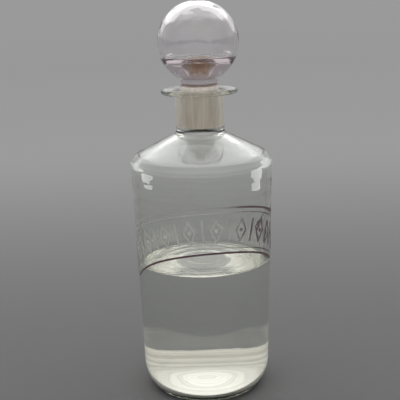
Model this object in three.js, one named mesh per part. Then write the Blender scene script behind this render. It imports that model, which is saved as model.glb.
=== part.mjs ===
import * as THREE from 'three';

// Clear glass apothecary bottle with a hollow ball stopper. Millimetres, Z up.
// The foot stands on z = 0 and every turned piece shares the Z axis.
// The label faces -Y, turned a little towards +X.

// Facets
const SIDES = 48; // round the axis, on every turned piece
const BEND_STEP = 12; // degrees per facet along a rounded corner
const KICK_UP_STEPS = 4; // from the axis to the standing ring
const LABEL_STEPS = 40; // along each long side of the ribbon
const LABEL_END_STEPS = 4; // along each short side

// Clearances
const FUSED_GAP = 0.2; // glass melted onto glass, or enamel fired onto it
const GROUND_GAP = 0.2; // ground plug in the ground bore of the neck
const FILM_GAP = 0.2; // liquid against the inside of the bottle

// Body
const BODY_RADIUS = 48; // outside, where the wall meets the shoulder
const FOOT_RADIUS = 43.6; // outside, where the line of the wall meets the table
const SHOULDER_HEIGHT = 164; // corner between wall and shoulder
const SHOULDER_SLOPE = 26.3; // degrees above level
const SHOULDER_ROUND = 7.3;
const HEEL_HEIGHT = 11.5; // the wall turns in towards the foot here
const HEEL_ROUND = 27; // long bend from the wall into the heel
const WALL = 4.1;
const FLOOR = 2.8; // glass under the contents at the inner corner
const FLOOR_RISE = 4; // the floor swells this much at the axis
const FLOOR_ROUND = 5; // inner corner between floor and wall
const STANDING_RADIUS = 37.5; // the heel meets the table here
const STANDING_ROUND = 5.7; // short bend from the heel onto the table
const KICK_UP_RADIUS = 27;
const KICK_UP = 4; // hollow in the underside, at the axis

// Neck and lip
const NECK_HEIGHT = 29.2; // shoulder to mouth
const NECK_WALL = 3.1; // beside the top of the ground bore
const NECK_ROUND = 3.4; // hollow corner between shoulder and neck
const LIP_OVERHANG = 9.4; // beyond the neck
const LIP_THICK = 3.4;
const LIP_EDGE = 1.5;
const LIP_SEAT = 1; // the lip ring is let into the neck by this much

// Stopper
const PLUG_RADIUS = 12.9; // at the mouth
const PLUG_TAPER = 0.05; // radius lost per millimetre, a one in ten cone
const PLUG_END = 3.6; // tip of the plug above the foot of the neck
const PLUG_PROUD = 1.5; // ground part showing above the lip
const PLUG_EDGE = 0.8;
const SHANK_RADIUS = 12.1;
const SHANK_HEIGHT = 5.9; // mouth to the underside of the ball
const SHANK_LEDGE = 0.7; // the ball rests on this step of the shank
const BALL_RADIUS = 26.9;
const BALL_WALL = 2.4;
const BALL_FLOOR = 14.5; // flat floor of the hollow, above the underside of the ball
const FUNNEL_RIM = 3.6; // floor left round the pit in its middle
const FUNNEL_END = 4.6; // radius at the bottom of the pit
const FUNNEL_DEPTH = 5.5;

// Contents
const LIQUID_LEVEL = 91;

// Label, measured on the unrolled wall
const LABEL_APEX = 123; // height of the middle of the ribbon at its highest
const LABEL_BEND = 125; // radius of the arch along the middle of the ribbon
const LABEL_SWEEP = 78; // degrees of that arch
const LABEL_TURN = 10; // degrees from -Y towards +X
const LABEL_TALL = 30;
const LABEL_LINE = 1.3; // width of the border line
const LABEL_THICK = 0.25;

// Sizes that follow from the ones above
const slope = THREE.MathUtils.degToRad(SHOULDER_SLOPE);
const neckRadius = PLUG_RADIUS + GROUND_GAP + NECK_WALL;
const neckFoot = SHOULDER_HEIGHT + (BODY_RADIUS - neckRadius) * Math.tan(slope);
const mouth = neckFoot + NECK_HEIGHT;
const plugTip = neckFoot + PLUG_END;
const plugRadiusAt = (z) => PLUG_RADIUS + PLUG_TAPER * (z - mouth);
const wallRadiusAt = (z) => FOOT_RADIUS + (BODY_RADIUS - FOOT_RADIUS) * (z / SHOULDER_HEIGHT);
const innerShoulderAt = (r) =>
  SHOULDER_HEIGHT + (BODY_RADIUS - r) * Math.tan(slope) - WALL / Math.cos(slope);
const spigotRadius = SHANK_RADIUS - SHANK_LEDGE;
const funnelRadius = spigotRadius - FUNNEL_RIM;
const ballHole = spigotRadius + FUSED_GAP;
const ballFoot = mouth + SHANK_HEIGHT;
const ballCentre = ballFoot + Math.sqrt(BALL_RADIUS ** 2 - ballHole ** 2);

// A corner of a turned profile: radius, height and how much it is rounded.
const corner = (r, z, round = 0) => ({ at: new THREE.Vector2(r, z), round });

// Length of the side from a corner to its neighbour that the corner's own arc may use up.
function sideFor(here, neighbour) {
  const length = here.at.distanceTo(neighbour.at);
  return neighbour.round > 0 ? length / 2 : length;
}

// Outline through the corners, with an arc in place of each rounded one.
function rounded(corners) {
  const outline = [];
  corners.forEach((here, i) => {
    if (here.round <= 0) {
      outline.push(here.at.clone());
      return;
    }
    const before = corners[i - 1];
    const after = corners[i + 1];
    const back = before.at.clone().sub(here.at).normalize();
    const ahead = after.at.clone().sub(here.at).normalize();
    const half = Math.acos(THREE.MathUtils.clamp(back.dot(ahead), -1, 1)) / 2;
    const room = Math.min(sideFor(here, before), sideFor(here, after));
    const radius = Math.min(here.round, room * Math.tan(half));
    const centre = back.clone().add(ahead).normalize();
    centre.multiplyScalar(radius / Math.sin(half)).add(here.at);
    const start = back.multiplyScalar(radius / Math.tan(half)).add(here.at).sub(centre);
    const end = ahead.multiplyScalar(radius / Math.tan(half)).add(here.at).sub(centre);
    const turn = Math.atan2(start.cross(end), start.dot(end));
    const steps = Math.max(1, Math.round(Math.abs(THREE.MathUtils.radToDeg(turn)) / BEND_STEP));
    for (let k = 0; k <= steps; k += 1) {
      const spoke = start.clone().rotateAround(new THREE.Vector2(), (turn * k) / steps);
      outline.push(spoke.add(centre));
    }
  });
  return outline;
}

// Arc about a centre on the axis, between two angles from straight up.
function arcOnAxis(radius, centre, from, to, steps) {
  return Array.from({ length: steps + 1 }, (_, k) => {
    const angle = from + ((to - from) * k) / steps;
    return new THREE.Vector2(radius * Math.sin(angle), centre + radius * Math.cos(angle));
  });
}

const turned = (outline) => new THREE.LatheGeometry(outline, SIDES).rotateX(Math.PI / 2);

function bottleBody() {
  const domeRadius = (KICK_UP_RADIUS ** 2 + KICK_UP ** 2) / (2 * KICK_UP);
  const domeReach = Math.asin(KICK_UP_RADIUS / domeRadius);
  const underside = arcOnAxis(domeRadius, KICK_UP - domeRadius, 0, domeReach, KICK_UP_STEPS);
  const seat = mouth - LIP_THICK - FUSED_GAP;
  const outside = rounded([
    corner(KICK_UP_RADIUS, 0),
    corner(STANDING_RADIUS, 0, STANDING_ROUND),
    corner(wallRadiusAt(HEEL_HEIGHT), HEEL_HEIGHT, HEEL_ROUND),
    corner(BODY_RADIUS, SHOULDER_HEIGHT, SHOULDER_ROUND),
    corner(neckRadius, neckFoot, NECK_ROUND),
    corner(neckRadius, seat),
    corner(neckRadius - LIP_SEAT, seat),
    corner(neckRadius - LIP_SEAT, mouth),
  ]);
  const boreEnd = plugRadiusAt(plugTip) + GROUND_GAP;
  const innerCorner = BODY_RADIUS - WALL;
  const inside = rounded([
    corner(PLUG_RADIUS + GROUND_GAP, mouth),
    corner(boreEnd, plugTip),
    corner(boreEnd, innerShoulderAt(boreEnd), NECK_ROUND),
    corner(innerCorner, innerShoulderAt(innerCorner), SHOULDER_ROUND),
    corner(wallRadiusAt(FLOOR) - WALL, FLOOR, FLOOR_ROUND),
    corner(0, FLOOR + FLOOR_RISE),
  ]);
  return turned([...underside.slice(0, -1), ...outside, ...inside]);
}

function lipFlange() {
  const hole = neckRadius - LIP_SEAT + FUSED_GAP;
  const edge = neckRadius + LIP_OVERHANG;
  return turned(rounded([
    corner(hole, mouth - LIP_THICK),
    corner(edge, mouth - LIP_THICK, LIP_EDGE),
    corner(edge, mouth, LIP_EDGE),
    corner(hole, mouth),
    corner(hole, mouth - LIP_THICK),
  ]));
}

function stopperPlug() {
  const groundTop = mouth + PLUG_PROUD;
  const ledge = ballFoot - FUSED_GAP;
  const spigotTop = ballFoot + BALL_FLOOR;
  return turned(rounded([
    corner(0, plugTip),
    corner(plugRadiusAt(plugTip), plugTip, PLUG_EDGE),
    corner(plugRadiusAt(groundTop), groundTop),
    corner(SHANK_RADIUS, groundTop),
    corner(SHANK_RADIUS, ledge),
    corner(spigotRadius, ledge),
    corner(spigotRadius, spigotTop),
    corner(funnelRadius, spigotTop),
    corner(FUNNEL_END, spigotTop - FUNNEL_DEPTH),
    corner(0, spigotTop - FUNNEL_DEPTH),
  ]));
}

function stopperBall() {
  const hollow = BALL_RADIUS - BALL_WALL;
  const floor = ballFoot + BALL_FLOOR;
  const outerEnd = Math.PI - Math.asin(ballHole / BALL_RADIUS);
  const innerEnd = Math.acos((floor - ballCentre) / hollow);
  const stepsFor = (angle) => Math.round(THREE.MathUtils.radToDeg(angle) / BEND_STEP);
  return turned([
    ...arcOnAxis(BALL_RADIUS, ballCentre, outerEnd, 0, stepsFor(outerEnd)),
    ...arcOnAxis(hollow, ballCentre, 0, innerEnd, stepsFor(innerEnd)),
    new THREE.Vector2(ballHole, floor),
    new THREE.Vector2(ballHole, ballFoot),
  ]);
}

function liquid() {
  const bottom = FLOOR + FILM_GAP;
  const inset = WALL + FILM_GAP;
  return turned(rounded([
    corner(0, bottom + FLOOR_RISE),
    corner(wallRadiusAt(bottom) - inset, bottom, FLOOR_ROUND),
    corner(wallRadiusAt(LIQUID_LEVEL) - inset, LIQUID_LEVEL),
    corner(0, LIQUID_LEVEL),
  ]));
}

// A point of the label: an angle and a radius in the arch's plane, wrapped round the wall.
function labelPoint(sweep, radius, height) {
  const z = LABEL_APEX - LABEL_BEND + radius * Math.cos(sweep);
  const turn = (radius * Math.sin(sweep)) / wallRadiusAt(LABEL_APEX);
  const angle = turn + THREE.MathUtils.degToRad(LABEL_TURN);
  const reach = wallRadiusAt(z) + height;
  return new THREE.Vector3(reach * Math.sin(angle), -reach * Math.cos(angle), z);
}

// The border line: a flat bar along both long sides and both ends of the ribbon.
function labelBorder() {
  const end = THREE.MathUtils.degToRad(LABEL_SWEEP) / 2;
  const innerEnd = end - LABEL_LINE / LABEL_BEND;
  const top = LABEL_BEND + LABEL_TALL / 2;
  const bottom = LABEL_BEND - LABEL_TALL / 2;
  const innerTop = top - LABEL_LINE;
  const innerBottom = bottom + LABEL_LINE;
  const corners = [
    { outer: [-end, top], inner: [-innerEnd, innerTop] },
    { outer: [end, top], inner: [innerEnd, innerTop] },
    { outer: [end, bottom], inner: [innerEnd, innerBottom] },
    { outer: [-end, bottom], inner: [-innerEnd, innerBottom] },
  ];
  const between = (a, b, share) => a.map((value, i) => value + (b[i] - value) * share);
  const points = [];
  corners.forEach((from, i) => {
    const to = corners[(i + 1) % corners.length];
    const steps = i % 2 === 0 ? LABEL_STEPS : LABEL_END_STEPS;
    for (let k = 0; k < steps; k += 1) {
      const outer = between(from.outer, to.outer, k / steps);
      const inner = between(from.inner, to.inner, k / steps);
      points.push(labelPoint(...outer, FUSED_GAP));
      points.push(labelPoint(...outer, FUSED_GAP + LABEL_THICK));
      points.push(labelPoint(...inner, FUSED_GAP + LABEL_THICK));
      points.push(labelPoint(...inner, FUSED_GAP));
    }
  });
  const faces = [];
  for (let here = 0; here < points.length; here += 4) {
    const next = (here + 4) % points.length;
    for (let side = 0; side < 4; side += 1) {
      const other = (side + 1) % 4;
      faces.push(here + side, next + other, next + side);
      faces.push(here + side, here + other, next + other);
    }
  }
  const bar = new THREE.BufferGeometry().setFromPoints(points);
  bar.setIndex(faces);
  bar.computeVertexNormals();
  return bar;
}

const clearGlass = { color: 0xd9e0dc, roughness: 0.05, metalness: 0 };
const groundGlass = { color: 0xb5ab9c, roughness: 0.6, metalness: 0 };
const water = { color: 0xc4cccc, roughness: 0.02, metalness: 0 };
const enamel = { color: 0x5a4a4c, roughness: 0.5, metalness: 0 };

function piece(name, geometry, finish) {
  const mesh = new THREE.Mesh(geometry, new THREE.MeshStandardMaterial(finish));
  mesh.name = name;
  return mesh;
}

const bottle = new THREE.Group();
bottle.name = 'apothecary_bottle';
bottle.add(
  piece('bottle_body', bottleBody(), clearGlass),
  piece('lip_flange', lipFlange(), clearGlass),
  piece('label_border', labelBorder(), enamel),
  piece('liquid', liquid(), water),
  piece('stopper_plug', stopperPlug(), groundGlass),
  piece('stopper_ball', stopperBall(), clearGlass),
);

export default bottle;
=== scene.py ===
# %% [markdown]
# A clear glass apothecary bottle with a hollow ball stopper.
#
# The frame that is loaded here holds the bottle at its real size: the foot stands on z = 0, the axis is Z
# and the label faces -Y. Every piece below is modelled in its final place in that frame and rides on the
# bottle or on the stopper, so it moves with that body and needs no fitting afterwards. Sizes are written
# in millimetres, as a maker would write them, and MM turns them into metres.

# %% Load the frame
import math

import bmesh
import bpy
from mathutils import Matrix, Vector


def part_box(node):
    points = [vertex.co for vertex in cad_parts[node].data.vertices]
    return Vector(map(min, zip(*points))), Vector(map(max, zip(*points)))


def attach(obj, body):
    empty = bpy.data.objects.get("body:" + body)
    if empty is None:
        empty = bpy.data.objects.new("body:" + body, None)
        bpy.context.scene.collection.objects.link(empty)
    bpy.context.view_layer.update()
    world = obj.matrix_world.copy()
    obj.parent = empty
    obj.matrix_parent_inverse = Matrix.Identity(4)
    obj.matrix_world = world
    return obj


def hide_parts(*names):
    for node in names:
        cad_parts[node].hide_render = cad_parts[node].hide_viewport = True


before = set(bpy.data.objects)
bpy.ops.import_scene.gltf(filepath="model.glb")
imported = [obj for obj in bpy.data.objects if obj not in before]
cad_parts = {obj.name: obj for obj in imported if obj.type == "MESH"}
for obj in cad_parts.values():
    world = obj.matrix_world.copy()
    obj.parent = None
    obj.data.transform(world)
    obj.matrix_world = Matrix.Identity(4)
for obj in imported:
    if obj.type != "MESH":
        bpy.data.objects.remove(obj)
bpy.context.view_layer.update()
MM = 0.001

# %% [markdown]
# Glass is seen by what it does to light, so its finish is mostly physics: how much it bends light, how
# much colour a thick piece of it shows, and how flat its surface came off the iron. Patterns could be
# painted as pictures, but those need a UV map and blur when they are seen close, so every material here
# is a small node tree. One helper turns an sRGB hex colour into linear light, one adds a node with its
# settings and links, and one starts a material with its output and the Object coordinates that its
# patterns read.

# %% Helpers for materials


def colour(hex_code):
    """Linear RGBA of an sRGB hex colour such as '#c8c8c8'."""
    shares = [int(hex_code[k:k + 2], 16) / 255 for k in (1, 3, 5)]
    linear = [c / 12.92 if c <= 0.04045 else ((c + 0.055) / 1.055) ** 2.4 for c in shares]
    return (*linear, 1)


def add_node(tree, kind, sockets=None, **settings):
    """Add a node, set its properties, and set or link each named or numbered input socket."""
    node = tree.nodes.new(kind)
    for name, value in settings.items():
        setattr(node, name, value)
    for socket, value in (sockets or {}).items():
        if isinstance(value, bpy.types.NodeSocket):
            tree.links.new(value, node.inputs[socket])
        else:
            node.inputs[socket].default_value = value
    return node


def new_material(name):
    """An empty node tree with an output, and the Object coordinates for its patterns."""
    material = bpy.data.materials.new(name)
    material.use_nodes = True
    tree = material.node_tree
    tree.nodes.clear()
    output = add_node(tree, "ShaderNodeOutputMaterial")
    place = add_node(tree, "ShaderNodeTexCoord").outputs["Object"]
    return material, tree, output, place


print("half grey on screen is", round(colour("#808080")[0], 3), "in linear light")

# %% [markdown]
# The body is soda glass blown by mouth: clear, with a breath of green from iron in the sand that only
# shows where the glass is thick, as along the edge of the lip. Colour that grows with depth is an
# absorbing volume inside the skin, not a tint on it. A blown wall isn't flat either, so what it mirrors
# wobbles. The waves are wide round the wall and narrow up it, because the glass was turned while it was
# worked, and lower down the wall is smoother. They could be modelled, but they are a fraction of a
# millimetre high, so a bump of soft noise does it. The stopper is faintly purple, as glass with a little
# manganese in it turns in sunlight, and its waves are as tall as they are wide, and deeper.

# %% Clear and purpled glass
GLASS_IOR = 1.52
SMOOTH_SHARE = 0.25
SMOOTH_RUN = 30


def blown_glass(name, tint, depth_colour, depth, wave_wide, wave_tall, wave_deep, smooth_below):
    """Polished glass: its colour shows with depth, and its surface has soft waves left by blowing."""
    # To the eye: clear, with bright lines that bend and break up where the wall isn't flat.
    material, tree, output, place = new_material(name)
    height = add_node(tree, "ShaderNodeSeparateXYZ", {0: place}).outputs["Z"]
    worked = add_node(tree, "ShaderNodeMapRange", {
        "Value": height, "From Min": smooth_below * MM, "From Max": (smooth_below + SMOOTH_RUN) * MM,
        "To Min": SMOOTH_SHARE, "To Max": 1.0,
    })
    drawn_out = add_node(tree, "ShaderNodeMapping", {
        "Vector": place, "Scale": [1 / (wave * MM) for wave in (wave_wide, wave_wide, wave_tall)],
    })
    waves = add_node(tree, "ShaderNodeTexNoise", {
        "Vector": drawn_out.outputs[0], "Scale": 1.0, "Detail": 1.0, "Roughness": 0.4,
    })
    bump = add_node(tree, "ShaderNodeBump", {
        "Strength": worked.outputs[0], "Distance": wave_deep * MM, "Height": waves.outputs["Fac"],
    })
    glass = add_node(tree, "ShaderNodeBsdfPrincipled", {
        "Base Color": colour(tint), "Roughness": 0.0, "IOR": GLASS_IOR,
        "Transmission Weight": 1.0, "Normal": bump.outputs["Normal"],
    })
    absorption = add_node(tree, "ShaderNodeVolumeAbsorption", {
        "Color": colour(depth_colour), "Density": 1 / (depth * MM),
    })
    tree.links.new(glass.outputs[0], output.inputs["Surface"])
    tree.links.new(absorption.outputs[0], output.inputs["Volume"])
    return material


clear_glass = blown_glass(
    "clear_soda_glass", tint="#fdfefd", depth_colour="#d9dec9", depth=60,
    wave_wide=22, wave_tall=6, wave_deep=0.22, smooth_below=110,
)
purpled_glass = blown_glass(
    "purpled_glass", tint="#fdfcfd", depth_colour="#dccbd1", depth=50,
    wave_wide=9, wave_tall=9, wave_deep=0.42, smooth_below=180,
)
print("glass:", clear_glass.name, purpled_glass.name)

# %% [markdown]
# The plug of the stopper and the bore of the neck were ground into each other with emery until they
# fitted. That leaves both faces matt and pale: it is the same glass, so it still lets light through, but
# its grit marks scatter every ray. Lifting the stopper in and out has left faint upright streaks. Lower
# down, the ground glass turns a little warmer, as painted light for the light that comes up into the plug
# from the bottle. The pit in the floor of the hollow ball is matt as well, and tan, darker towards its
# floor: painted shade in the pit, and a painted reflection of the ground plug below it. Grit marks could
# be dents in the mesh, but there would be millions of them, so roughness and a bump stand for them. Real
# grit is too fine to show from here, so it is drawn coarser.

# %% Ground glass
STREAK_WIDE = 1.6
STREAK_LONG = 83.3
STREAK_DARKEST = 0.76
SHADING_WANDER = 8
GRIT = 0.9
GRIT_DEEP = 0.1


def ground_joint(name, upper_shading, lower_shading, upper_shading_height, lower_shading_height):
    """Matt glass with faint upright streaks, and painted light and shade as a tone that changes between
    two heights.
    """
    # To the eye: a soft cream body that hides what is behind it, with fine lines running up it.
    material, tree, output, place = new_material(name)
    upright = add_node(tree, "ShaderNodeMapping", {
        "Vector": place, "Scale": [1 / (size * MM) for size in (STREAK_WIDE, STREAK_WIDE, STREAK_LONG)],
    })
    streaks = add_node(tree, "ShaderNodeTexNoise", {
        "Vector": upright.outputs[0], "Scale": 1.0, "Detail": 2.0,
    })
    height = add_node(tree, "ShaderNodeSeparateXYZ", {0: place}).outputs["Z"]
    # The painted light and shade changes tone between the two heights, along an edge that the streaks make
    # ragged.
    ragged = add_node(tree, "ShaderNodeMath", {
        0: streaks.outputs["Fac"], 1: SHADING_WANDER * MM, 2: height,
    }, operation="MULTIPLY_ADD")
    share = add_node(tree, "ShaderNodeMapRange", {
        "Value": ragged.outputs[0], "From Min": upper_shading_height * MM, "From Max": lower_shading_height * MM,
    }, interpolation_type="SMOOTHSTEP")
    tone = add_node(tree, "ShaderNodeMix", {
        "Factor": share.outputs[0], "A": colour(upper_shading), "B": colour(lower_shading),
    }, data_type="RGBA")
    marks = add_node(tree, "ShaderNodeMapRange", {
        "Value": streaks.outputs["Fac"], "From Min": 0.35, "From Max": 0.65,
        "To Min": STREAK_DARKEST, "To Max": 1.0,
    })
    streaked = add_node(tree, "ShaderNodeMix", {
        "Factor": 1.0, "A": tone.outputs["Result"], "B": marks.outputs[0],
    }, data_type="RGBA", blend_type="MULTIPLY")
    grit = add_node(tree, "ShaderNodeTexNoise", {"Vector": place, "Scale": 1 / (GRIT * MM), "Detail": 3.0})
    bump = add_node(tree, "ShaderNodeBump", {
        "Strength": 0.6, "Distance": GRIT_DEEP * MM, "Height": grit.outputs["Fac"],
    })
    glass = add_node(tree, "ShaderNodeBsdfPrincipled", {
        "Base Color": streaked.outputs["Result"], "Roughness": 0.4, "IOR": GLASS_IOR,
        "Transmission Weight": 0.4, "Normal": bump.outputs["Normal"],
    })
    tree.links.new(glass.outputs[0], output.inputs["Surface"])
    return material


# Lower down, the bore and the plug turn a little warmer: painted light, standing in for the light that
# comes up into the plug from the bottle.
ground_glass = ground_joint(
    "emery_ground_glass", upper_shading="#fff7ee", lower_shading="#fff4ea", upper_shading_height=204, lower_shading_height=190,
)
# The pit is tan and darker towards its floor: painted shade in the pit, and a painted reflection of the
# ground plug below it.
pit_glass_painted_shade = ground_joint(
    "pit_glass_painted_shade", upper_shading="#b89a7c", lower_shading="#8c6a4c", upper_shading_height=231, lower_shading_height=224,
)
print("ground glass:", ground_glass.name, pit_glass_painted_shade.name)

# %% [markdown]
# Everything but the label is round about one axis, so each piece starts as half of its section: a wire
# through a few corners, drawn in the XZ plane. A Screw modifier could turn it, but a bmesh spin gives
# real faces at once, and a face can then take its material by its place. A vertex bevel rounds each
# corner of the wire, long runs are cut into short ones so that shading stays true beside the rounded
# corners, and one full spin makes the skin. The spin leaves doubled points on the axis, so those are
# merged before the faces are turned outwards.

# %% Helpers for turned pieces
SPIN_STEPS = 160
ROUND_SEGMENTS = 10
LONGEST_RUN = 3
WELD = 0.001


def round_corner(bm, point, rounding):
    """Round the corner of the wire at a point, by a radius in millimetres."""
    back, ahead = [edge.other_vert(point).co - point.co for edge in point.link_edges]
    setback = rounding * MM / math.tan(back.angle(ahead) / 2)
    bmesh.ops.bevel(
        bm, geom=[point], offset=setback, offset_type="OFFSET", segments=ROUND_SEGMENTS, profile=0.5,
        affect="VERTICES", material=-1, clamp_overlap=True,
    )


def draw_section(bm, corners):
    """Wire through corners given as (radius, height, rounding) in millimetres. Returns its last point."""
    points = [bm.verts.new((radius * MM, 0, height * MM)) for radius, height, _ in corners]
    for start, end in zip(points, points[1:]):
        bm.edges.new((start, end))
    last = points[-1]
    for point, (_, _, rounding) in zip(points, corners):
        if rounding:
            round_corner(bm, point, rounding)
    return last


def spin_section(bm, longest_run=LONGEST_RUN):
    """Spin the wire about Z into a skin that faces outwards, after cutting its runs short."""
    for edge in list(bm.edges):
        cuts = int(edge.calc_length() / (longest_run * MM))
        if cuts:
            bmesh.ops.subdivide_edges(bm, edges=[edge], cuts=cuts)
    bmesh.ops.spin(
        bm, geom=bm.verts[:] + bm.edges[:], cent=(0, 0, 0), axis=(0, 0, 1), angle=math.tau,
        steps=SPIN_STEPS, use_merge=True,
    )
    bmesh.ops.remove_doubles(bm, verts=bm.verts, dist=WELD * MM)
    bmesh.ops.recalc_face_normals(bm, faces=bm.faces)


print("one spin step is", 360 / SPIN_STEPS, "degrees")

# %% [markdown]
# A bmesh is only a workshop: its faces go into a mesh, the mesh into an object at the origin, and the
# object into the scene. Smooth shading runs over all its edges but the sharp ones. A piece of the bottle
# then rides on one of the two bodies and stands in for the nodes of the frame that it replaces.

# %% Helpers for finished pieces
SHARP_EDGE = math.radians(40)


def make_object(name, bm, materials):
    """Turn a bmesh into a smooth object with its materials."""
    mesh = bpy.data.meshes.new(name)
    bm.to_mesh(mesh)
    bm.free()
    for material in materials:
        mesh.materials.append(material)
    mesh.shade_smooth()
    mesh.set_sharp_from_angle(angle=SHARP_EDGE)
    made = bpy.data.objects.new(name, mesh)
    bpy.context.scene.collection.objects.link(made)
    print(name, "has", len(mesh.polygons), "faces")
    return made


def finish_piece(name, bm, materials, body, nodes=()):
    """Make a piece that rides on a body and stands for the given nodes."""
    piece = make_object(name, bm, materials)
    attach(piece, body)
    if nodes:
        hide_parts(*nodes)


print("an edge is sharp above", round(math.degrees(SHARP_EDGE)), "degrees")

# %% [markdown]
# The bottle's wall tapers a little towards the foot, its shoulder slopes up to a short neck, and its
# floor swells to the middle over a shallow kick-up. The frame's own mesh could be smoothed, but its
# facets would still show in the glass, so the section is drawn again with the same sizes. The heights of
# the mouth and of the plug's tip come from the frame, so the glass meets the joint where the frame has
# it. The floor is needed three times, for the glass, for the liquid on it and for the powder between
# them, so it is one line that can be lifted off the glass.

# %% Sizes of the bottle
BODY_RADIUS = 48
FOOT_RADIUS = 43.6
SHOULDER_HEIGHT = 164
SHOULDER_SLOPE = math.radians(26.3)
WALL = 4.1
FLOOR = 2.8
FLOOR_ROUND = 5
FLOOR_BEND_RADIUS = 20
FLOOR_BEND_RISE = 2.8
FLOOR_BEND_ROUND = 15
FLOOR_RISE = 4
NECK_RADIUS = 16.2
NECK_FOOT = SHOULDER_HEIGHT + (BODY_RADIUS - NECK_RADIUS) * math.tan(SHOULDER_SLOPE)
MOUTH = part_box("bottle_body")[1].z / MM
PLUG_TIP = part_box("stopper_plug")[0].z / MM


def wall_radius(height):
    """Outside radius of the tapering wall."""
    return FOOT_RADIUS + (BODY_RADIUS - FOOT_RADIUS) * height / SHOULDER_HEIGHT


def inner_wall(height):
    """Inside radius of the wall."""
    return wall_radius(height) - WALL


def inner_shoulder(radius):
    """Height of the inside of the shoulder, one wall below its outside."""
    rise = (BODY_RADIUS - radius) * math.tan(SHOULDER_SLOPE)
    return SHOULDER_HEIGHT + rise - WALL / math.cos(SHOULDER_SLOPE)


def floor_line(lift=0):
    """Corners of the floor from the axis out to the wall, lifted off the glass by some millimetres."""
    return [
        (0, FLOOR + FLOOR_RISE + lift, 0),
        (FLOOR_BEND_RADIUS, FLOOR + FLOOR_BEND_RISE + lift, FLOOR_BEND_ROUND),
        (inner_wall(FLOOR) - lift, FLOOR + lift, FLOOR_ROUND - lift),
    ]


print("the neck runs from", round(NECK_FOOT, 1), "to", round(MOUTH, 1), "mm")

# %% [markdown]
# The bottle is one skin of glass, outside and inside: up the outside from the kick-up under the foot,
# over the lip, and down the inside to the floor. A Boolean could cut the inside out of a solid, but one
# wire that goes all the way round gives the same walls with cleaner faces. In the frame the lip is its
# own ring, but hot glass melts together, so here the skin runs on into it: a seam inside clear glass
# would show as a bright line. The faces of the bore are then found by their place, and take the ground
# glass.

# %% Bottle
KICK_UP_RADIUS = 27
KICK_UP = 4
KICK_UP_EDGE = 2
KICK_UP_BEND_RADIUS = 13.5
KICK_UP_BEND_HEIGHT = 3.2
KICK_UP_BEND_ROUND = 12
STANDING_RADIUS = 37.5
STANDING_ROUND = 5.7
HEEL_HEIGHT = 11.5
HEEL_ROUND = 27
SHOULDER_ROUND = 7.3
NECK_ROUND = 3.4
LIP_RADIUS = 25.6
LIP_THICK = 3.4
LIP_FILLET = 1.2
LIP_EDGE = 1.5
MOUTH_EDGE = 0.6
BORE_TOP = 13.1
BORE_END = 11.73
BORE_MARGIN = 0.1
# A face counts as steep where the Z of its normal is closer to zero than this.
STEEP = 0.5

bm = bmesh.new()
draw_section(bm, [
    (0, KICK_UP, 0),
    (KICK_UP_BEND_RADIUS, KICK_UP_BEND_HEIGHT, KICK_UP_BEND_ROUND),
    (KICK_UP_RADIUS, 0, KICK_UP_EDGE),
    (STANDING_RADIUS, 0, STANDING_ROUND),
    (wall_radius(HEEL_HEIGHT), HEEL_HEIGHT, HEEL_ROUND),
    (BODY_RADIUS, SHOULDER_HEIGHT, SHOULDER_ROUND),
    (NECK_RADIUS, NECK_FOOT, NECK_ROUND),
    (NECK_RADIUS, MOUTH - LIP_THICK, LIP_FILLET),
    (LIP_RADIUS, MOUTH - LIP_THICK, LIP_EDGE),
    (LIP_RADIUS, MOUTH, LIP_EDGE),
    (BORE_TOP, MOUTH, MOUTH_EDGE),
    (BORE_END, PLUG_TIP, 0),
    (BORE_END, inner_shoulder(BORE_END), NECK_ROUND),
    (BODY_RADIUS - WALL, inner_shoulder(BODY_RADIUS - WALL), SHOULDER_ROUND),
    *reversed(floor_line()),
])
spin_section(bm)
for face in bm.faces:
    middle = face.calc_center_median()
    in_bore = middle.xy.length < (BORE_TOP + BORE_MARGIN) * MM and middle.z > PLUG_TIP * MM
    if in_bore and abs(face.normal.z) < STEEP:
        face.material_index = 1
finish_piece(
    "bottle_glass", bm, [clear_glass, ground_glass], "bottle", ["bottle_body", "lip_flange"],
)

# %% [markdown]
# The stopper is one piece of glass too: a ground plug, a short shank and a blown ball. A sphere set on a
# cone would need a cut to join them and would leave a seam, so the outside is one wire: straight runs up
# to the shank, and then a spin of the wire's last point for the round of the ball.

# %% Outside of the stopper
BALL_RADIUS = 26.9
BALL_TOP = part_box("stopper_ball")[1].z / MM
BALL_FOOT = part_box("stopper_ball")[0].z / MM
BALL_CENTRE = BALL_TOP - BALL_RADIUS
BALL_STEPS = 60
SHANK_RADIUS = 12.1
SHANK_EDGE = 0.4
PLUG_TIP_RADIUS = 11.53
PLUG_TIP_EDGE = 0.9
GROUND_PROUD = 1.5
GROUND_TOP = MOUTH + GROUND_PROUD
GROUND_TOP_RADIUS = 12.97
GROUND_TOP_EDGE = 0.8
GROUND_LEDGE = 0.6


def ball_arc(bm, start):
    """Carry the wire on from a point round the ball to the top of its axis."""
    reach = math.atan2(start.co.x, start.co.z - BALL_CENTRE * MM)
    bmesh.ops.spin(
        bm, geom=[start], cent=(0, 0, BALL_CENTRE * MM), axis=(0, 1, 0), angle=-reach, steps=BALL_STEPS,
    )


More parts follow.
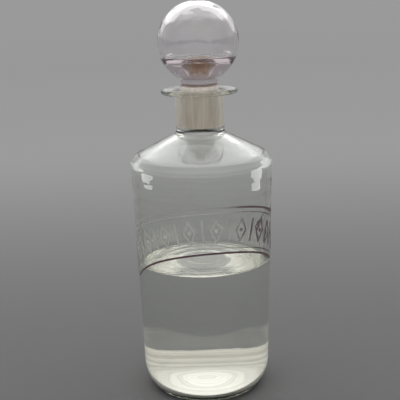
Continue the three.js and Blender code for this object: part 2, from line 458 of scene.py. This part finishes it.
stopper_skin = bmesh.new()
shank_meets_ball = BALL_CENTRE - math.sqrt(BALL_RADIUS ** 2 - SHANK_RADIUS ** 2)
rim = draw_section(stopper_skin, [
    (0, PLUG_TIP, 0),
    (PLUG_TIP_RADIUS, PLUG_TIP, PLUG_TIP_EDGE),
    (GROUND_TOP_RADIUS, GROUND_TOP, GROUND_TOP_EDGE),
    (SHANK_RADIUS, GROUND_TOP + GROUND_LEDGE, SHANK_EDGE),
    (SHANK_RADIUS, shank_meets_ball, 0),
])
ball_arc(stopper_skin, rim)
spin_section(stopper_skin)
for face in stopper_skin.faces:
    middle = face.calc_center_median()
    if middle.z < GROUND_TOP * MM and abs(face.normal.z) < STEEP:
        face.material_index = 1
print("the outside of the stopper has", len(stopper_skin.faces), "faces")

# %% [markdown]
# The hollow of the ball is a second, sealed skin inside, with a flat floor and a small pit in the middle.
# A Boolean could cut it, but two skins in one mesh are already a hollow. Its faces are turned round, so
# that they face the air in the hollow, which is what tells the renderer that the light leaves the glass
# there. It takes the same glass as the outside, because the renderer counts by material when a ray goes
# into a glass and out again.

# %% Hollow of the stopper
BALL_WALL = 2.4
HOLLOW_FLOOR_RISE = 14.5
HOLLOW_FLOOR = BALL_FOOT + HOLLOW_FLOOR_RISE
HOLLOW_RADIUS = BALL_RADIUS - BALL_WALL
HOLLOW_ROUND = 4
PIT_RADIUS = 7.8
PIT_END = 4.6
PIT_DEPTH = 5.5
PIT_EDGE = 1
PIT_PAINTED_SHADE_BELOW = 0.5

hollow = bmesh.new()
hollow_rim = math.sqrt(HOLLOW_RADIUS ** 2 - (BALL_CENTRE - HOLLOW_FLOOR) ** 2)
rim = draw_section(hollow, [
    (0, HOLLOW_FLOOR - PIT_DEPTH, 0),
    (PIT_END, HOLLOW_FLOOR - PIT_DEPTH, PIT_EDGE),
    (PIT_RADIUS, HOLLOW_FLOOR, PIT_EDGE),
    (hollow_rim, HOLLOW_FLOOR, 0),
])
ball_arc(hollow, rim)
round_corner(hollow, rim, HOLLOW_ROUND)
spin_section(hollow)
bmesh.ops.reverse_faces(hollow, faces=hollow.faces)
# The faces of the pit take the tan glass that carries the painted shade and reflection.
for face in hollow.faces:
    if face.calc_center_median().z < (HOLLOW_FLOOR - PIT_PAINTED_SHADE_BELOW) * MM:
        face.material_index = 2
inside = bpy.data.meshes.new("hollow")
hollow.to_mesh(inside)
hollow.free()
stopper_skin.from_mesh(inside)
bpy.data.meshes.remove(inside)
finish_piece(
    "stopper_glass", stopper_skin, [purpled_glass, ground_glass, pit_glass_painted_shade], "stopper",
    ["stopper_plug", "stopper_ball"],
)

# %% [markdown]
# The contents are a clear thin liquid, as clean as water. Its surface is never quite still, so it has low
# rings round the axis, drawn deeper than real ones so that they show. They could be waves in the mesh,
# but a bump bends the light in much the same way and leaves the level where the frame has it. They are
# noise read along the distance from the axis, which one helper works out, because the powder has rings as
# well.

# %% Liquid finish
LIQUID_IOR = 1.34
RIPPLE_WIDE = 9
RIPPLE_DEEP = 2


def from_axis(tree, place):
    """Distance of a point from the bottle's axis, and its height."""
    axes = add_node(tree, "ShaderNodeSeparateXYZ", {0: place})
    flat = add_node(tree, "ShaderNodeCombineXYZ", {"X": axes.outputs["X"], "Y": axes.outputs["Y"]})
    distance = add_node(tree, "ShaderNodeVectorMath", {0: flat.outputs[0]}, operation="LENGTH")
    return distance.outputs["Value"], axes.outputs["Z"]


def still_liquid(name):
    """Thin clear liquid with low rings in its surface."""
    # To the eye: nothing but what it bends, and a streaked bright oval where its surface is seen.
    material, tree, output, place = new_material(name)
    distance, _ = from_axis(tree, place)
    rings = add_node(tree, "ShaderNodeCombineXYZ", {"X": distance})
    ripples = add_node(tree, "ShaderNodeTexNoise", {
        "Vector": rings.outputs[0], "Scale": 1 / (RIPPLE_WIDE * MM), "Detail": 1.0,
    })
    bump = add_node(tree, "ShaderNodeBump", {
        "Strength": 1.0, "Distance": RIPPLE_DEEP * MM, "Height": ripples.outputs["Fac"],
    })
    water = add_node(tree, "ShaderNodeBsdfPrincipled", {
        "Base Color": colour("#fefefe"), "Roughness": 0.0, "IOR": LIQUID_IOR,
        "Transmission Weight": 1.0, "Normal": bump.outputs["Normal"],
    })
    tree.links.new(water.outputs[0], output.inputs["Surface"])
    return material


clear_liquid = still_liquid("clear_liquid")
print("liquid:", clear_liquid.name)

# %% [markdown]
# The liquid wets the glass, so it climbs the wall a little all round. Its sides could lie just on the
# glass, but where two clear things only touch, a renderer sees a film of air between them. So they are
# drawn a hair inside the glass, and there the light bends by the right amount.

# %% Contents
LIQUID_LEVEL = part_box("liquid")[1].z / MM
SINK = 0.3
MENISCUS = 2.4
MENISCUS_ROUND = 2.28

wet_height = LIQUID_LEVEL + MENISCUS
bm = bmesh.new()
draw_section(bm, floor_line(-SINK) + [
    (inner_wall(wet_height) + SINK, wet_height, 0),
    (inner_wall(wet_height), wet_height, 0),
    (inner_wall(LIQUID_LEVEL), LIQUID_LEVEL, MENISCUS_ROUND),
    (0, LIQUID_LEVEL, 0),
])
spin_section(bm)
finish_piece("contents", bm, [clear_liquid], "bottle", ["liquid"])

# %% [markdown]
# A fine pale powder has settled out of the liquid. It lies as a skin on the floor and a little way up the
# wall, in lines that show where it settled, level round the wall and in rings on the floor. The lines
# could be modelled as ridges, but they are only changes of tone, so noise read along the distance from
# the axis and the height draws them. The powder is matt, and the brightest thing in the bottle, because
# light falls on it from above through the clear liquid.

# %% Powder finish
POWDER_LINE = 2.5


def settled_powder(name):
    """Fine pale powder with faint lines, in rings on the floor and level round the wall."""
    # To the eye: a bright chalky base with soft grey lines in it.
    material, tree, output, place = new_material(name)
    distance, height = from_axis(tree, place)
    rings = add_node(tree, "ShaderNodeCombineXYZ", {"X": distance, "Z": height})
    lines = add_node(tree, "ShaderNodeTexNoise", {
        "Vector": rings.outputs[0], "Scale": 1 / (POWDER_LINE * MM), "Detail": 2.0,
    })
    tone = add_node(tree, "ShaderNodeValToRGB", {"Fac": lines.outputs["Fac"]})
    for stop, position, tint in zip(tone.color_ramp.elements, (0.35, 0.6), ("#dcd8d1", "#faf7f1")):
        stop.position = position
        stop.color = colour(tint)
    powder = add_node(tree, "ShaderNodeBsdfPrincipled", {
        "Base Color": tone.outputs["Color"], "Roughness": 0.8, "Specular IOR Level": 0.2,
    })
    tree.links.new(powder.outputs[0], output.inputs["Surface"])
    return material


pale_powder = settled_powder("settled_powder")
print("powder:", pale_powder.name)

# %% [markdown]
# The skin of powder could be shaped by hand, but a line that follows the floor and the wall, spun as a
# bare sheet, lies along the glass everywhere. The sheet is cut off by two planes and then given its
# thickness. One plane is level. The other slopes, so that the edge is lower towards the front, as it is
# in a bottle that was stored leaning back.

# %% Settled powder
POWDER_LEVEL = 15.5
POWDER_LIFT = 0.2
POWDER_THICK = 0.5
POWDER_SLOPE = 0.22
POWDER_RUN = 1.5

sheet_top = 2 * POWDER_LEVEL
bm = bmesh.new()
draw_section(bm, floor_line(POWDER_LIFT) + [(inner_wall(sheet_top) - POWDER_LIFT, sheet_top, 0)])
spin_section(bm, longest_run=POWDER_RUN)
for slope in (0, POWDER_SLOPE):
    bmesh.ops.bisect_plane(
        bm, geom=bm.verts[:] + bm.edges[:] + bm.faces[:], plane_co=(0, 0, POWDER_LEVEL * MM),
        plane_no=(0, -slope, 1), clear_outer=True,
    )
bmesh.ops.solidify(bm, geom=bm.faces[:], thickness=POWDER_THICK * MM)
bmesh.ops.recalc_face_normals(bm, faces=bm.faces)
finish_piece("powder_skin", bm, [pale_powder], "bottle")

# %% [markdown]
# The label is fired onto the glass as dark enamel. Hands have worn it away on one side: what is left
# there is a pale, frosted trace that the glass shows through. The wear could be painted by hand, but it
# simply grows along the wall, so it is one share from worn to kept, with a ragged edge from noise, and it
# drives the colour and the cover together.

# %% Enamel finish
WEAR_PATCH = 3
WEAR_RUN = 30
WORN_COVER = 0.42
KEPT_COVER = 0.95


def fired_enamel(name, worn, wear_edge, wear_tilt):
    """Dark fired enamel, worn to a pale frosted trace towards one side."""
    # To the eye: satin brown-purple lines that fade to a faint pale print.
    material, tree, output, place = new_material(name)
    axes = add_node(tree, "ShaderNodeSeparateXYZ", {0: place})
    # The edge of the wear leans over: it is read at X, less the tilt times the height.
    across = add_node(tree, "ShaderNodeMath", {
        0: axes.outputs["Z"], 1: -wear_tilt, 2: axes.outputs["X"],
    }, operation="MULTIPLY_ADD")
    patches = add_node(tree, "ShaderNodeTexNoise", {
        "Vector": place, "Scale": 1 / (WEAR_PATCH * MM), "Detail": 3.0,
    })
    ragged = add_node(tree, "ShaderNodeMath", {
        0: patches.outputs["Fac"], 1: WEAR_RUN * MM, 2: across.outputs[0],
    }, operation="MULTIPLY_ADD")
    kept = add_node(tree, "ShaderNodeMapRange", {
        "Value": ragged.outputs[0], "From Min": wear_edge * MM, "From Max": (wear_edge + WEAR_RUN) * MM,
    }, interpolation_type="SMOOTHSTEP")
    tone = add_node(tree, "ShaderNodeMix", {
        "Factor": kept.outputs[0], "A": colour(worn), "B": colour("#5f474e"),
    }, data_type="RGBA")
    cover = add_node(tree, "ShaderNodeMapRange", {
        "Value": kept.outputs[0], "To Min": WORN_COVER, "To Max": KEPT_COVER,
    })
    enamel = add_node(tree, "ShaderNodeBsdfPrincipled", {
        "Base Color": tone.outputs["Result"], "Roughness": 0.45, "Alpha": cover.outputs[0],
    })
    tree.links.new(enamel.outputs[0], output.inputs["Surface"])
    return material


border_enamel = fired_enamel("border_enamel", worn="#c4c1bb", wear_edge=-283, wear_tilt=2.2)
ornament_enamel = fired_enamel("ornament_enamel", worn="#d8d5cf", wear_edge=22, wear_tilt=0)
print("enamel:", border_enamel.name, ornament_enamel.name)

# %% [markdown]
# The label's form is an arched ribbon with a border line. A Shrinkwrap modifier could press a curve onto
# the wall, but the line would grow uneven where the wall bends away. The ribbon is flat on the unrolled
# wall, so it is drawn flat first: one edge spun about the middle of the arch gives the band, and an inset
# of the band leaves its rim. Then every point is rolled onto the wall, and the line gets its thickness.

# %% Label border
LABEL_TURN = math.radians(10)
LABEL_APEX = 123
LABEL_BEND = 125
LABEL_SWEEP = math.radians(78)
LABEL_TALL = 30
LABEL_LINE = 1.3
LABEL_THICK = 0.25
LABEL_STEPS = 96
LABEL_END_CUTS = 8
ENAMEL_LIFT = 0.01
ARCH_MIDDLE = Vector((0, 0, (LABEL_APEX - LABEL_BEND) * MM))


def ribbon_rim(bm, tall, line):
    """Rim of a flat arched band: its height and the width of its line in millimetres."""
    ends = [
        bm.verts.new(ARCH_MIDDLE + Vector((0, 0, reach * MM)))
        for reach in (LABEL_BEND - tall / 2, LABEL_BEND + tall / 2)
    ]
    edge = bm.edges.new(ends)
    start = Matrix.Rotation(-LABEL_SWEEP / 2, 3, "Y")
    bmesh.ops.rotate(bm, verts=ends, cent=ARCH_MIDDLE, matrix=start)
    bmesh.ops.subdivide_edges(bm, edges=[edge], cuts=LABEL_END_CUTS)
    bmesh.ops.spin(
        bm, geom=bm.verts[:] + bm.edges[:], cent=ARCH_MIDDLE, axis=(0, 1, 0), angle=LABEL_SWEEP,
        steps=LABEL_STEPS,
    )
    rim = set(bmesh.ops.inset_region(
        bm, faces=bm.faces[:], thickness=line * MM, use_boundary=True, use_even_offset=True,
    )["faces"])
    bmesh.ops.delete(bm, geom=[face for face in bm.faces if face not in rim], context="FACES")


def fire_onto_wall(bm, thick):
    """Roll a flat drawing (X along the wall, Z up) onto the outside of the wall, and thicken it."""
    middle_radius = wall_radius(LABEL_APEX) * MM
    for point in bm.verts:
        angle = point.co.x / middle_radius + LABEL_TURN
        radius = (wall_radius(point.co.z / MM) + ENAMEL_LIFT) * MM
        point.co = (radius * math.sin(angle), -radius * math.cos(angle), point.co.z)
    bmesh.ops.recalc_face_normals(bm, faces=bm.faces)
    bmesh.ops.solidify(bm, geom=bm.faces[:], thickness=thick * MM)
    bmesh.ops.recalc_face_normals(bm, faces=bm.faces)


bm = bmesh.new()
ribbon_rim(bm, LABEL_TALL + LABEL_LINE, LABEL_LINE)
fire_onto_wall(bm, LABEL_THICK)
finish_piece("label_border_line", bm, [border_enamel], "bottle", ["label_border"])

# %% [markdown]
# Inside its border the ribbon carries a plain running ornament: lozenges with a dot in each and upright
# bars between them, inside a fine line. It could be a pattern in the finish, but as a layer of its own it
# keeps a crisp edge and goes with the mesh wherever that is used. The shapes are stamped flat along the
# arch as polygons with few corners. Each lozenge is inset and its middle taken out, long edges are cut so
# that they can bend, and then all of it is rolled onto the wall like the border.

# %% Label ornament
LOZENGES = 9
LOZENGE_TALL = 17
LOZENGE_WIDE = 9
LOZENGE_LINE = 1.3
DOT_WIDE = 2.6
DOT_SIDES = 12
BAR_TALL = 15
BAR_WIDE = 1.5
FINE_LINE = 0.5
FINE_LINE_INSET = 3
ORNAMENT_SPAN = 0.92
ORNAMENT_THICK = 0.15
LONGEST_STRAIGHT = 2
BEND_CUTS = 4


def stamp(bm, sides, wide, tall, along, turn=0):
    """A flat polygon on the middle of the ribbon, at an angle along its arch."""
    place = (
        Matrix.Translation(ARCH_MIDDLE)
        @ Matrix.Rotation(along, 4, "Y")
        @ Matrix.Translation((0, 0, LABEL_BEND * MM))
        @ Matrix.Diagonal((wide / 2 * MM, 1, tall / 2 * MM, 1))
        @ Matrix.Rotation(math.radians(90), 4, "X")
        @ Matrix.Rotation(turn, 4, "Z")
    )
    made = bmesh.ops.create_circle(bm, cap_ends=True, segments=sides, radius=1, matrix=place)
    return made["verts"][0].link_faces[0]


bm = bmesh.new()
ribbon_rim(bm, LABEL_TALL - 2 * FINE_LINE_INSET, FINE_LINE)
step = LABEL_SWEEP * ORNAMENT_SPAN / LOZENGES
# A circle of four sides, turned by 45 degrees, is a rectangle with its corners on the circle.
corner_reach = math.sqrt(2)
lozenges = []
for k in range(LOZENGES):
    along = (k - (LOZENGES - 1) / 2) * step
    lozenges.append(stamp(bm, 4, LOZENGE_WIDE, LOZENGE_TALL, along))
    stamp(bm, DOT_SIDES, DOT_WIDE, DOT_WIDE, along)
    if k:
        stamp(bm, 4, BAR_WIDE * corner_reach, BAR_TALL * corner_reach, along - step / 2, math.radians(45))
bmesh.ops.inset_individual(bm, faces=lozenges, thickness=LOZENGE_LINE * MM, use_even_offset=True)
bmesh.ops.delete(bm, geom=lozenges, context="FACES_ONLY")
straights = [edge for edge in bm.edges if edge.calc_length() > LONGEST_STRAIGHT * MM]
bmesh.ops.subdivide_edges(bm, edges=straights, cuts=BEND_CUTS, use_grid_fill=True)
fire_onto_wall(bm, ORNAMENT_THICK)
finish_piece("label_ornament", bm, [ornament_enamel], "bottle")

# %% [markdown]
# The bottle stands on a wide sweep of grey paper. A flat sheet would end in a hard line behind the bottle,
# so this one turns up all round and no edge of it shows. The paper is grey, as backdrops for glass are:
# against a plain white one the bright lines in clear glass would be lost. Its tone runs darker in front
# and lighter towards the back, as painted shade: it stands in for the shade that falls on the paper in
# front of the bottle.

# %% Floor
LEVEL_RADIUS = 1500
SHEET_RADIUS = 5000
SHEET_RISE = 700
SHEET_ROUND = 4000
SHEET_RUN = 60
GRADE_FRONT = -100
GRADE_BACK = 900


def paper_with_painted_shade(name, shaded_front, back):
    """Matt paper with painted shade: its tone runs from one colour in front to another behind."""
    # To the eye: a soft ground with no gloss, darker in front with painted shade, that shows where the
    # bottle throws its shadow.
    material, tree, output, place = new_material(name)
    depth = add_node(tree, "ShaderNodeSeparateXYZ", {0: place}).outputs["Y"]
    # The tone darkens towards the front as painted shade.
    share = add_node(tree, "ShaderNodeMapRange", {
        "Value": depth, "From Min": GRADE_FRONT * MM, "From Max": GRADE_BACK * MM,
    }, interpolation_type="SMOOTHSTEP")
    tone = add_node(tree, "ShaderNodeMix", {
        "Factor": share.outputs[0], "A": colour(shaded_front), "B": colour(back),
    }, data_type="RGBA")
    sheet = add_node(tree, "ShaderNodeBsdfPrincipled", {
        "Base Color": tone.outputs["Result"], "Roughness": 0.9, "Specular IOR Level": 0.2,
    })
    tree.links.new(sheet.outputs[0], output.inputs["Surface"])
    return material


bm = bmesh.new()
draw_section(bm, [(0, 0, 0), (LEVEL_RADIUS, 0, SHEET_ROUND), (SHEET_RADIUS, SHEET_RISE, 0)])
spin_section(bm, longest_run=SHEET_RUN)
# The faces of this wide bowl now look outwards and down, so they are turned to look up at the bottle.
bmesh.ops.reverse_faces(bm, faces=bm.faces)
# The paper's tone, darker in front, is painted shade.
make_object("floor", bm, [paper_with_painted_shade("grey_paper_painted_shade", shaded_front="#5b5b5b", back="#808080")])

# %% [markdown]
# Glass shows what is round it. Lamps would show in it as hard spots, so the light is the whole room,
# drawn as the world, with smooth ramps over the direction. The walls are dim just over the paper and
# lighter from a little higher up, and they are brighter on the camera's side, which lights the ground
# neck, the label and the powder from the front. A broad white panel hangs overhead, towards the back: it
# gives the bright bow on the ball and on the shoulder. It fades out well above the edge of the paper, so
# that it isn't seen directly behind the bottle.

# %% Room light
PANEL_HEIGHT = math.radians(60)

scene = bpy.context.scene
scene.view_settings.view_transform = "Standard"
scene.world = bpy.data.worlds.new("room")
scene.world.use_nodes = True
tree = scene.world.node_tree
tree.nodes.clear()
direction = add_node(tree, "ShaderNodeTexCoord").outputs["Generated"]
axes = add_node(tree, "ShaderNodeSeparateXYZ", {0: direction})
towards_panel = add_node(tree, "ShaderNodeVectorMath", {
    0: direction, 1: (0, math.cos(PANEL_HEIGHT), math.sin(PANEL_HEIGHT)),
}, operation="DOT_PRODUCT").outputs["Value"]
# Each ramp has the share of the direction that it reads, where it starts and ends, and its glow there.
ramps = {
    "walls": (axes.outputs["Z"], 0.0, 0.2, 0.33, 0.75),
    "camera side": (axes.outputs["Y"], -0.7, -0.1, 1.4, 1.0),
    "panel": (towards_panel, 0.6, 0.72, 0.0, 1.2),
    "clear of paper": (axes.outputs["Z"], 0.3, 0.45, 0.0, 1.0),
}
glow = {}
for part, (share, start, end, start_glow, end_glow) in ramps.items():
    glow[part] = add_node(tree, "ShaderNodeMapRange", {
        "Value": share, "From Min": start, "From Max": end, "To Min": start_glow, "To Max": end_glow,
    }, interpolation_type="SMOOTHSTEP").outputs[0]
room = add_node(tree, "ShaderNodeMath", {
    0: glow["walls"], 1: glow["camera side"],
}, operation="MULTIPLY").outputs[0]
room_and_panel = add_node(tree, "ShaderNodeMath", {
    0: glow["panel"], 1: glow["clear of paper"], 2: room,
}, operation="MULTIPLY_ADD").outputs[0]
light = add_node(tree, "ShaderNodeBackground", {"Color": (1, 1, 1, 1), "Strength": room_and_panel})
add_node(tree, "ShaderNodeOutputWorld", {"Surface": light.outputs[0]})
print("the panel is", round(math.degrees(PANEL_HEIGHT)), "degrees up, towards the back")

# %% [markdown]
# Two low bright cards, one on either side, give the wall of the bottle a patch of light near each edge,
# and its waves break up their outline. They could be drawn in the world as well, but a lamp can be kept
# out of some kinds of ray. So they only show as reflections in the glass: the camera doesn't see them,
# not through the glass either, and they don't light the paper.

# %% Cards
CARD_AWAY = 450
CARD_BACK = 42
CARD_HEIGHT = 55
CARD_TALL = 33
CARD_LONG = 228
CARD_GLOW = 3

for side in (-1, 1):
    lamp = bpy.data.lights.new("card", "AREA")
    lamp.shape = "ELLIPSE"
    lamp.size = CARD_TALL * MM
    lamp.size_y = CARD_LONG * MM
    lamp.energy = CARD_GLOW * math.pi * lamp.size * lamp.size_y
    card = bpy.data.objects.new("card", lamp)
    card.location = (side * CARD_AWAY * MM, CARD_BACK * MM, CARD_HEIGHT * MM)
    card.rotation_euler = (0, side * math.radians(90), 0)
    card.visible_camera = False
    card.visible_diffuse = False
    card.visible_transmission = False
    scene.collection.objects.link(card)
    print("card at", [round(c, 3) for c in card.location], "with", round(lamp.energy, 3), "W")

# %% [markdown]
# The camera stands where the photograph was taken from: close, about as high as the top of the stopper,
# looking down a little and not quite level. Its place and turn were found by fitting the outline of the
# bottle. A ray that crosses the bottle meets many skins of glass, so rays are followed further than
# usual. Filter Glossy treats smooth glass as a little rough once a ray has met a matt surface, which
# isn't true to glass, so it is off.

# %% Camera and rays
LENS = 72.8
SENSOR = 36
CAMERA_PLACE = Vector((-1.6, -539.3, 263.0)) * MM
LOOK_DOWN = math.radians(13.608)
CAMERA_ROLL = math.radians(-1.65)
GLASS_BOUNCES = 32
MIRROR_BOUNCES = 12

camera = bpy.data.objects.new("camera", bpy.data.cameras.new("camera"))
camera.data.lens = LENS
camera.data.sensor_width = SENSOR
camera.location = CAMERA_PLACE
upright = Matrix.Rotation(math.radians(90) - LOOK_DOWN, 3, "X")
camera.rotation_euler = (upright @ Matrix.Rotation(CAMERA_ROLL, 3, "Z")).to_euler()
scene.collection.objects.link(camera)
scene.camera = camera
scene.cycles.blur_glossy = 0
scene.cycles.max_bounces = GLASS_BOUNCES
scene.cycles.transmission_bounces = GLASS_BOUNCES
scene.cycles.glossy_bounces = MIRROR_BOUNCES
print("the camera is", round(CAMERA_PLACE.xy.length, 3), "m from the axis")
